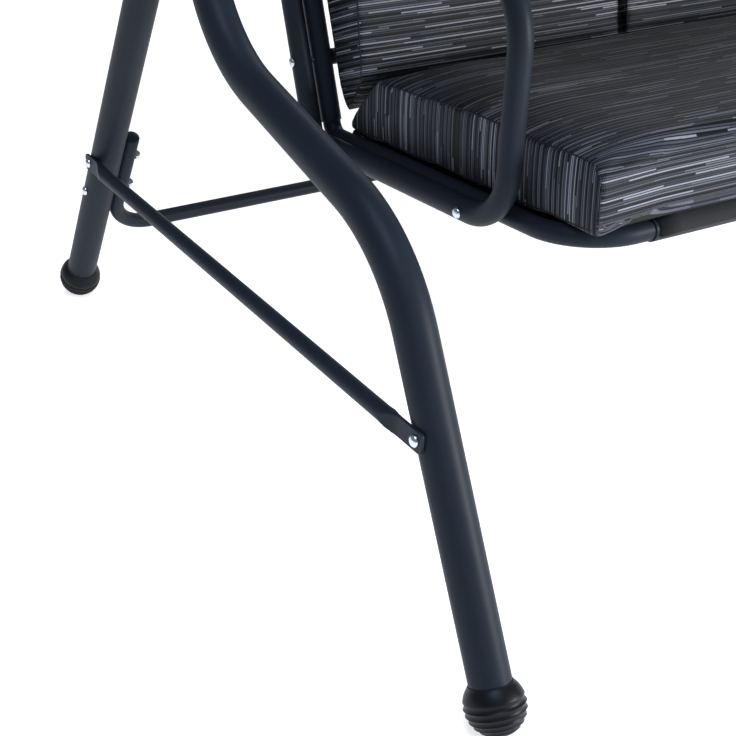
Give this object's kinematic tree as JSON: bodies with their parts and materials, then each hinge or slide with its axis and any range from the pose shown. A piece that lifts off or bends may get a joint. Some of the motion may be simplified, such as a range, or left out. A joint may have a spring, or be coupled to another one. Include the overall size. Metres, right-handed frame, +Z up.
{
  "type": "garden swing seat",
  "caption": "Free-standing garden swing seat with S-curved tube posts, a hanging cushioned bench and a tilting fabric canopy.",
  "frame": {"origin": "centre of the stand's footprint, on the ground", "axes": "+X along the width, to the sitter's left; -Y is the way the seat faces; +Z up"},
  "size_m": [2.3072, 1.3345, 1.7075],
  "materials": {
    "powder_coat": "satin anthracite blue-grey powder coat",
    "dark_coat": "satin near-black powder coat",
    "black_plastic": "moulded black polypropylene",
    "zinc": "bright zinc plate",
    "sling_cloth": "black coated mesh cloth",
    "striped_cloth": "charcoal outdoor cloth with broken silver-grey stripes",
    "canopy_cloth": "charcoal awning cloth"
  },
  "bodies": {
    "stand": {"front_post_left": "powder_coat", "rear_leg_left": "powder_coat", "side_brace_left": "powder_coat", "foot_front_left": "black_plastic", "foot_rear_left": "black_plastic", "swing_bracket_left": "dark_coat", "brace_bolt_front_left": "zinc", "brace_bolt_rear_left": "zinc", "stretcher_bolt_left": "zinc", "leg_bolt_upper_left": "zinc", "leg_bolt_lower_left": "zinc", "pivot_pin_left": "zinc", "front_post_right": "powder_coat", "rear_leg_right": "powder_coat", "side_brace_right": "powder_coat", "foot_front_right": "black_plastic", "foot_rear_right": "black_plastic", "swing_bracket_right": "dark_coat", "brace_bolt_front_right": "zinc", "brace_bolt_rear_right": "zinc", "stretcher_bolt_right": "zinc", "leg_bolt_upper_right": "zinc", "leg_bolt_lower_right": "zinc", "pivot_pin_right": "zinc", "rear_stretcher": "powder_coat", "top_rail": "powder_coat"},
    "seat": {"arm_loop_left": "powder_coat", "seat_side_left": "powder_coat", "hanger_left": "dark_coat", "hanger_bolt_front_left": "zinc", "hanger_bolt_rear_left": "zinc", "arm_bolt_front_left": "zinc", "arm_bolt_rear_left": "zinc", "seat_bolt_left": "zinc", "arm_loop_right": "powder_coat", "seat_side_right": "powder_coat", "hanger_right": "dark_coat", "hanger_bolt_front_right": "zinc", "hanger_bolt_rear_right": "zinc", "arm_bolt_front_right": "zinc", "arm_bolt_rear_right": "zinc", "seat_bolt_right": "zinc", "seat_front_rail": "powder_coat", "seat_cross_frame": "powder_coat", "back_frame": "powder_coat", "back_lower_rail": "powder_coat", "seat_sling": "sling_cloth", "back_sling": "sling_cloth", "seat_cushion": "striped_cloth", "back_cushion_left": "striped_cloth", "back_cushion_middle": "striped_cloth", "back_cushion_right": "striped_cloth"},
    "canopy": {"canopy_arm_left": "powder_coat", "canopy_arm_right": "powder_coat", "canopy_front_rail": "powder_coat", "canopy_rear_rail": "powder_coat", "canopy_cover": "canopy_cloth"},
    "knob_left": {"canopy_knob_left": "black_plastic"},
    "knob_right": {"canopy_knob_right": "black_plastic"}
  },
  "joints": [
    {"name": "seat_swing", "type": "hinge", "parent": "stand", "child": "seat", "pos_m": [0, 0.1149, 1.46], "axis": [1, 0, 0], "range_deg": [-20, 20]},
    {"name": "canopy_tilt", "type": "hinge", "parent": "stand", "child": "canopy", "pos_m": [0, 0.0957, 1.405], "axis": [1, 0, 0], "range_deg": [-15, 20]},
    {"name": "knob_left_turn", "type": "hinge", "parent": "stand", "child": "knob_left", "pos_m": [-1.131, 0.0957, 1.405], "axis": [1, 0, 0], "continuous": true},
    {"name": "knob_right_turn", "type": "hinge", "parent": "stand", "child": "knob_right", "pos_m": [1.131, 0.0957, 1.405], "axis": [1, 0, 0], "continuous": true}
  ]
}
